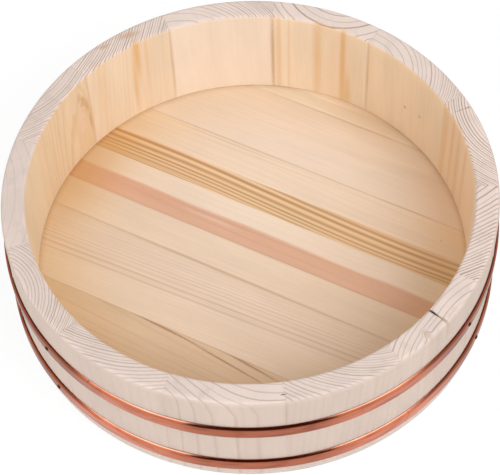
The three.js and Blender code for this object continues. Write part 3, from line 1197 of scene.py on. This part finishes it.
@dataclass
class BoardFloor:
    """The boarded floor, from the front board to the back one.

    Joints are shares of the floor's radius. Seeds are the first board's and the step to the next.
    """

    wall: Wall = field(default_factory=Wall)
    joints: tuple[float, ...] = (-0.532, -0.157, 0.01, 0.221, 0.525, 0.866)
    reach: float = 0.9985
    heartwood_board: int = 3
    gap: float = 0.06
    edge: float = 0.14
    rows: int = 18
    late: RGB = BROWN
    # painted shade: a darker tint over the floor's last few millimetres by the wall
    wall_shade_tint: RGB = (0.9, 0.8, 0.68)
    wall_shade_span: Pair = (143.0, 148.5)
    # span of the painted warm shade towards the wall, tinted by each plank's edge
    warm_shade_span: Pair = (90.0, 150.0)
    streaks: float = 0.08
    threads: float = 0.19
    seeds: Pair = (40.0, 5.1)

    def loops(self, index: int) -> np.ndarray:
        """Sections of one board from joint to joint.

        At distance n across the floor a section is a rounded rectangle as long as the floor's chord
        there, twice the root of the radius squared less n squared. Distances are spread by the sine
        of evenly spaced angles, so that a board that ends on the circle tapers evenly.

        Args:
            index: number of the board.

        Returns:
            Points, sections by outline by 3, in millimetres.
        """
        radius, bevel = self.wall.floor_radius, self.edge
        edges = np.concatenate([[-self.reach], self.joints, [self.reach]]) * radius
        low, high = edges[index] + self.gap / 2, edges[index + 1] - self.gap / 2
        back, draw = edge_round(bevel)
        turns = np.linspace(np.arcsin((low + bevel) / radius), np.arcsin((high - bevel) / radius), self.rows)
        across = np.concatenate([low + back, radius * np.sin(turns[1:-1]), (high - back)[::-1]])
        depth = np.concatenate([draw, np.zeros(self.rows - 2), draw[::-1]])[:, None]
        half = np.sqrt(radius ** 2 - across ** 2)[:, None]
        top, foot = self.wall.floor_top, self.wall.floor_top - self.wall.floor_thickness
        corner = np.radians(np.add.outer([270, 0, 90, 180], [0, 30, 60, 90]).ravel())
        side = np.repeat([1.0, 1.0, -1.0, -1.0], 4)
        level = np.repeat([0.0, 1.0, 1.0, 0.0], 4)
        length = side * (half - depth - bevel) + bevel * np.cos(corner)
        z = foot + depth + bevel + level * (top - foot - 2 * bevel - 2 * depth) + bevel * np.sin(corner)
        along_way, across_way = level_axes(math.radians(BOARD_DIRECTION))
        return length[..., None] * along_way + across[:, None, None] * across_way + z[..., None] * UP

    def finish(self, index: int) -> Wood:
        """The wood of one board.

        Args:
            index: number of the board.

        Returns:
            Its finish.
        """
        plank, (along, across) = PLANKS[index], level_axes(math.radians(BOARD_DIRECTION))
        pith = plank.pith_across * across + plank.pith_height * UP
        grain = along + plank.lean[0] * across + plank.lean[1] * UP
        edges = np.concatenate([[-1.0], self.joints, [1.0]]) * self.wall.floor_radius
        middle = (edges[index] + edges[index + 1]) / 2
        reference = math.hypot(middle - plank.pith_across, self.wall.floor_top - plank.pith_height)
        log = Log(tuple(pith), tuple(across), tuple(grain), reference, plank.spacing, plank.power,
                  plank.wobble, plank.width)
        face = Face(plank.early, self.late)
        # painted shade towards the wall: broad and warm, then darker at the very edge
        shades = (Shade(LEVEL, *self.warm_shade_span, plank.edge), Shade(LEVEL, *self.wall_shade_span, self.wall_shade_tint))
        return Wood(f"floor_wood_{index + 1:02d}", log, face, face, plank.lines,
                    self.seeds[1] * index + self.seeds[0], zone=plank.zone, marks=plank.marks + FLOOR_STAINS_AND_SHADES,
                    shades=shades, streaks=self.streaks, threads=self.threads)

    def build(self, effects: Effects) -> None:
        """Makes, dresses and places every board.

        Args:
            effects: the shared node groups.
        """
        for index in range(len(self.joints) + 1):
            name = f"floor_board_{index + 1:02d}"
            piece = loft(f"{name}_wood", self.loops(index), self.finish(index).material(effects))
            take_place(piece, name)


@dataclass
class Band:
    """A copper band round the staves, with its nails.

    Dents at the nails and the seam have a depth and a half width. A nail's tip has a radius and a length.
    """

    node: str
    nail_node: str
    copper: Copper
    foot_share: float
    nail_angles: tuple[float, ...]
    seam_angle: float
    seed: int
    wall: Wall = field(default_factory=Wall)
    width: float = 12.0
    thickness: float = 2.0
    clearance: float = 0.15
    roll_depth: float = 1.9
    roll_height: float = 2.2
    roll_turn: float = 72.0
    crown: float = 0.05
    close_reach: float = 2.4
    close_steps: int = 41
    waves: tuple[int, ...] = (5, 9, 14, 23, 37)
    wave_height: float = 0.07
    wave_slant: float = 0.12
    nail_dent: Pair = (0.14, 2.6)
    seam_dent: Pair = (0.3, 0.32)
    seam_slant: float = 0.35
    nail_share: float = 0.45
    nail_head: float = 1.55
    nail_rise: float = 0.75
    nail_shank: float = 0.8
    nail_length: float = 9.0
    nail_tip: Pair = (0.12, 1.2)
    nail_seat: float = 0.05
    nail_uneven: float = 0.07
    nail_sides: int = 24
    nail_seed: int = 50

    @property
    def foot(self) -> float:
        """Height of the band's lower edge."""
        return self.foot_share * self.wall.height

    @property
    def nail_height(self) -> float:
        """Height of the band's nails."""
        return self.foot + self.nail_share * self.width

    def section(self) -> np.ndarray:
        """The strip's section: a flat back, a slightly crowned face and part of an ellipse at each edge.

        Returns:
            A counter-clockwise loop of distance from the wall and height above the lower edge.
        """
        shoulder = self.thickness - self.crown
        turn = np.radians(np.linspace(0, self.roll_turn, 10))
        fall, rise = (np.cos(turn) - 1) / (1 - np.cos(turn[-1])), np.sin(turn) / np.sin(turn[-1]) - 1
        roll = np.stack([self.roll_depth * fall, self.roll_height * rise], axis=-1)
        upper = np.array([shoulder, self.width]) + roll
        lower = upper[::-1] * np.array([1.0, -1.0]) + np.array([0.0, self.width])
        z = np.linspace(self.roll_height, self.width - self.roll_height, 11)[1:-1]
        reach = 2 * (z - self.width / 2) / (self.width - 2 * self.roll_height)
        face = np.stack([shoulder + self.crown * (1 - reach ** 2), z], axis=-1)
        back = np.stack([np.zeros(7), np.linspace(self.width, 0, 7)], axis=-1)
        return np.concatenate([lower, face, upper, back])

    def turns(self) -> np.ndarray:
        """Spreads the strip's sections, closer together at the seam and the nails.

        Returns:
            Their angles in radians.
        """
        close = np.linspace(-self.close_reach, self.close_reach, self.close_steps)
        places = (*self.nail_angles, self.seam_angle)
        turns = [np.arange(0, 360, 1.0) - 180.0, *(angle + close for angle in places)]
        return np.radians(np.unique(np.round(np.concatenate(turns), 4)))

    def loops(self) -> tuple[np.ndarray, np.ndarray]:
        """Sections of the strip all round the tub.

        The strip follows the leaning wall. Its face waves by a few hundredths of a millimetre, the
        sum of sines of whole numbers of waves, dips round each nail by a bell curve, and has a
        narrow groove of the same form where its ends meet.

        Returns:
            Points, sections by outline by 3, and the map along and across the strip, in millimetres.
        """
        rng = np.random.default_rng(self.seed)
        section, turn = self.section(), self.turns()[:, None]
        z = self.foot + section[None, :, 1]
        share = np.clip(section[None, :, 0] / self.thickness, 0.0, 1.0)
        base = self.wall.outer(z) + self.clearance
        waves, lag = np.array(self.waves), rng.uniform(0, 2 * math.pi, len(self.waves))
        phase = turn[..., None] * waves + lag + self.wave_slant * (z - self.foot)[..., None]
        wave = (np.sin(phase) / len(self.waves)).sum(axis=-1) * self.wave_height
        dent = np.zeros_like(base + turn)
        for angle in self.nail_angles:
            away = np.hypot(base * (turn - math.radians(angle)), z - self.nail_height)
            dent = dent + self.nail_dent[0] * np.exp(-(away / self.nail_dent[1]) ** 2)
        across = z - self.foot - self.width / 2
        away = base * (turn - math.radians(self.seam_angle)) - self.seam_slant * across
        dent = dent + self.seam_dent[0] * np.exp(-(away / self.seam_dent[1]) ** 2)
        radius = base + section[None, :, 0] - share * (dent + self.wave_height + wave)
        points = np.stack([radius * np.cos(turn), radius * np.sin(turn), z + 0 * turn], axis=-1)
        along = self.wall.rim_radius * turn + 0 * z
        return points, np.stack([along, across + 0 * turn], axis=-1)

    def nail_loops(self, angle: float, rng: np.random.Generator) -> np.ndarray:
        """Sections of one nail along its axis.

        Rings of points round the nail's axis: a shank, a flat seat, and a head whose radius falls
        as the root of one less the height's square, made a little uneven by a sine of the turn.

        Args:
            angle: where the nail sits, in degrees.
            rng: source of small differences between nails.

        Returns:
            Points, rings by sides by 3, in millimetres.
        """
        rise = np.linspace(0.0, 0.97, 7)
        point, taper = self.nail_tip
        depth = np.concatenate([[-self.nail_length, -self.nail_length + taper, 0.0], self.nail_rise * rise])
        dome = self.nail_head * np.sqrt(1 - rise ** 2)
        radius = np.concatenate([[point, self.nail_shank, self.nail_shank], dome])
        depth, radius = depth[:, None], radius[:, None]
        spin = np.linspace(0, 2 * math.pi, self.nail_sides, endpoint=False)
        radius = radius * (1 + self.nail_uneven * np.sin(3 * spin + rng.uniform(0, 6)) * (depth >= 0))
        z = self.nail_height
        out = self.wall.outer(z) + self.clearance + self.thickness - self.nail_seat + depth + 0 * spin
        out_way, round_way = level_axes(math.radians(angle))
        return (out[..., None] * out_way + (radius * np.cos(spin))[..., None] * round_way
                + (z + radius * np.sin(spin))[..., None] * UP)

    def build(self, effects: Effects, dark: bpy.types.Material) -> None:
        """Makes, dresses and places the strip and its nails.

        Args:
            effects: the shared node groups.
            dark: the nails' finish.
        """
        points, uv = self.loops()
        strip = loft(f"{self.node}_strip", points, self.copper.material(effects), wrap=True, uv=uv)
        take_place(strip, self.node)
        rng = np.random.default_rng(self.seed + self.nail_seed)
        for index, angle in enumerate(self.nail_angles):
            node = f"{self.nail_node}_{index + 1:02d}"
            take_place(loft(f"{node}_head", self.nail_loops(angle, rng), dark), node)


BANDS = (
    Band("upper_band", "upper_nail", Copper("upper_copper"), 0.573, (-144.8, -33.3, 90.0), -131.6, 2),
    # painted light: the lower band's copper is the upper's made about a tenth brighter
    Band("lower_band", "lower_nail",
         Copper("lower_copper", (0.65, 0.192, 0.097), (0.45, 0.113, 0.057), seed=8.0),
         0.116, (-143.1, -26.9, 95.0), -54.5, 3),
)
NAIL_DARK = Speckled("nail_dark", (0.2, 0.075, 0.05), (0.06, 0.025, 0.02), (900.0, 900.0, 900.0), 1.0, 0.5)


@dataclass
class HiddenPins:
    """Bamboo pins inside the joints, which keep their CAD shape."""

    names: tuple[str, ...] = ("stave_pin", "floor_pin")
    finish: Speckled = Speckled("pin_bamboo", (0.72, 0.58, 0.3), (0.55, 0.4, 0.17),
                                (400.0, 400.0, 90.0), 0.0, 0.6)

    def build(self) -> None:
        """Dresses every pin."""
        material = self.finish.material()
        for name, node in sorted(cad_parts.items()):
            if name.startswith(self.names):
                node.data.materials.clear()
                node.data.materials.append(material)
                LOG.info("%s: keeps its CAD shape", name)


@dataclass(frozen=True)
class Lamp:
    """A soft lamp that faces the tub: its place in degrees and metres, width and height, and power."""

    name: str
    turn: float
    rise: float
    away: float
    size: Pair
    power: float

    def hang(self) -> None:
        """Adds the lamp to the scene, where polished pieces don't mirror it."""
        lamp = bpy.data.lights.new(self.name, "AREA")
        lamp.shape = "ELLIPSE"
        lamp.size, lamp.size_y = self.size
        lamp.energy = self.power
        holder = add_object(self.name, lamp)
        holder.visible_glossy = False
        rise = math.radians(self.rise)
        way = Vector(math.cos(rise) * level_axes(math.radians(self.turn))[0] + math.sin(rise) * UP)
        holder.location = way * self.away
        holder.rotation_euler = way.to_track_quat("Z", "Y").to_euler()


@dataclass
class Studio:
    """Pale floor, soft light and the camera.

    Polished pieces mirror a room of their own. Its lengths are parts of a unit direction: ends, edges
    and gaps are where a change begins and is complete. Mirrored lists the mirrored floor's strength at
    the tub's sides, in front and at the middle of the front.
    """

    floor_half: float = 1.2
    floor_drop: float = 0.0001
    floor_color: RGB = (0.9, 0.9, 0.9)
    floor_roughness: float = 0.9
    floor_white: float = 1.04
    floor_glow: float = 0.86
    sky: float = 0.71
    room_glow: float = 0.06
    far_glow: float = 0.12
    room_tint: RGB = (1.0, 0.4, 0.32)
    room_dim: float = 0.5
    room_fade: float = 0.4
    side_glow: float = 0.42
    side_edges: Pair = (0.6, 0.8)
    side_heights: Pair = (0.35, 0.6)
    screen_glow: float = 7.0
    screen_tint: RGB = (0.43, 0.83, 1.15)
    screen_tinted: Pair = (0.2, 0.6)
    screen_starts: Pair = (3.3, 3.15)
    screen_start_edge: Pair = (-0.05, 0.05)
    screen_ends: Pair = (1.05, 1.2)
    screen_end_edge: Pair = (-0.1, 0.1)
    screen_lean: float = -0.566
    screen_heights: Pair = (0.68, 0.8)
    screen_foot: float = 0.16
    mirrored: Vec3 = (0.5, 1.05, 0.7)
    mirrored_front: Pair = (0.5, 0.75)
    mirrored_middle: Pair = (0.9, 0.97)
    mirrored_ends: Pair = (0.24, 0.32)
    mirrored_gap: Pair = (0.895, 0.935)
    mirrored_far: Pair = (0.8, 0.1)
    mirrored_share: float = 0.85
    lamps: tuple[Lamp, ...] = (Lamp("key", -51.0, 48.0, 1.9, (1.1, 1.1), 16.2),
                               Lamp("fill", -155.0, 3.0, 1.9, (1.2, 0.1), 9.5))
    camera_place: Vec3 = (0.0, -0.775488, 1.165372)
    camera_forward: Vec3 = (-0.00087, 0.5664, -0.82413)
    camera_up: Vec3 = (0.04353, 0.82337, 0.56583)
    focal_length: float = 144.0
    sensor_width: float = 36.0
    clip_end: float = 50.0

    def floor(self) -> None:
        """Makes the floor, which the camera sees as nearly white and which keeps the tub's shadow."""
        side = np.array([-1.0, 1.0]) * self.floor_half
        x, y = np.meshgrid(side, side)
        points = np.stack([x, y, 0 * x - self.floor_drop], axis=-1).reshape(-1, 3)
        mesh = bpy.data.meshes.new("floor")
        mesh.from_pydata(points.tolist(), [], [[0, 1, 3, 2]])
        g = Surface("studio_floor")
        g.fill(g.shader, Base_Color=self.floor_color, Roughness=self.floor_roughness, Specular_IOR_Level=0.0)
        path = g.node("LightPath").outputs
        seen = g.blend(g.times(path["Is Camera Ray"], self.floor_glow), g.shader.outputs[0],
                       g.glow(self.floor_white))
        polished = g.blend(g.times(path["Is Glossy Ray"], self.mirrored_share), seen, self.mirrored_floor(g))
        g.fill(g.tree.nodes["Material Output"], Surface=polished)
        mesh.materials.append(g.material)
        plane = add_object("studio_floor", mesh)

    def mirrored_floor(self, g: Surface) -> Output:
        """The floor as polished pieces mirror it: dim beside the tub, bright in front, less so at the middle.

        Args:
            g: the floor material's graph.

        Returns:
            The shader.
        """
        place = g.node("TexCoord").outputs["Object"]
        ahead = g.vector("DOT_PRODUCT", g.vector("NORMALIZE", place), (0.0, -1.0, 0.0))
        side, front, middle = self.mirrored
        strength = g.math("ADD", g.ramp(ahead, *self.mirrored_front, side, front),
                          g.ramp(ahead, *self.mirrored_middle, 0.0, middle - front))
        far = g.ramp(ahead, *self.mirrored_gap, *self.mirrored_far)
        return g.glow(g.times(strength, g.ramp(g.vector("LENGTH", place), *self.mirrored_ends, 1.0, far)))

    def world(self) -> None:
        """Lights the tub from all round: white where it is seen, even and softer where it lights.

        Polished pieces mirror a dim room with a bright screen on each side of the camera.
        """
        made = bpy.data.worlds.new("studio")
        made.use_nodes = True
        g = Graph(made.node_tree)
        path = g.node("LightPath").outputs
        seen = g.math("MAXIMUM", path["Is Camera Ray"], path["Is Transmission Ray"])
        glossy = path["Is Glossy Ray"]
        sideways, ahead, up = g.parts(g.node("TexCoord").outputs["Generated"])
        starts, ends = (g.math("MAXIMUM", g.times(sideways, right), g.times(sideways, -left))
                        for left, right in (self.screen_starts, self.screen_ends))
        depth = g.math("ADD", ahead, self.screen_lean)
        start = g.ramp(g.math("ADD", starts, depth), *self.screen_start_edge)
        end = g.ramp(g.math("ADD", ends, depth), *self.screen_end_edge, 1.0, 0.0)
        screens = g.times(start, end, g.ramp(up, *self.screen_heights, self.screen_foot, 1.0))
        low_sides = g.times(g.ramp(g.math("ABSOLUTE", sideways), *self.side_edges),
                            g.ramp(up, *self.side_heights, 1.0, 0.0))
        room = g.linear(end, -self.far_glow, self.room_glow + self.far_glow)
        room = g.linear(screens, self.screen_glow, g.linear(low_sides, self.side_glow, room))
        dim = g.times(glossy, g.math("SUBTRACT", self.room_dim, room))
        tint = g.mix(g.ramp(dim, 0.0, self.room_fade, 1.0, 0.0), self.room_tint, WHITE)
        bright = g.times(glossy, g.ramp(screens, *self.screen_tinted))
        lit = g.linear(seen, 1.0 - self.sky, self.sky)
        shine = g.times(glossy, g.math("SUBTRACT", room, self.sky))
        g.fill(g.tree.nodes["Background"], Color=g.mix(bright, tint, self.screen_tint),
               Strength=g.math("ADD", lit, shine))
        bpy.context.scene.world = made

    def camera(self) -> None:
        """Sets the camera where the photograph was taken from."""
        lens = bpy.data.cameras.new("camera")
        lens.lens = self.focal_length
        lens.sensor_width = self.sensor_width
        lens.clip_end = self.clip_end
        holder = add_object("camera", lens)
        forward = Vector(self.camera_forward).normalized()
        right = forward.cross(Vector(self.camera_up)).normalized()
        turn = Matrix((right, right.cross(forward), -forward)).transposed()
        holder.matrix_world = Matrix.Translation(self.camera_place) @ turn.to_4x4()
        bpy.context.scene.camera = holder

    def build(self) -> None:
        """Sets up the floor, light, camera and view."""
        self.floor()
        self.world()
        for lamp in self.lamps:
            lamp.hang()
        self.camera()
        bpy.context.scene.view_settings.view_transform = "Standard"


def main() -> None:
    """Builds the studio and the tub."""
    logging.basicConfig(level=logging.INFO, format="%(name)s %(message)s")
    Studio().build()
    effects = Effects()
    StaveRing().build(effects)
    BoardFloor().build(effects)
    dark = NAIL_DARK.material()
    for band in BANDS:
        band.build(effects, dark)
    HiddenPins().build()
    bpy.context.view_layer.update()


if __name__ == "__main__":
    main()
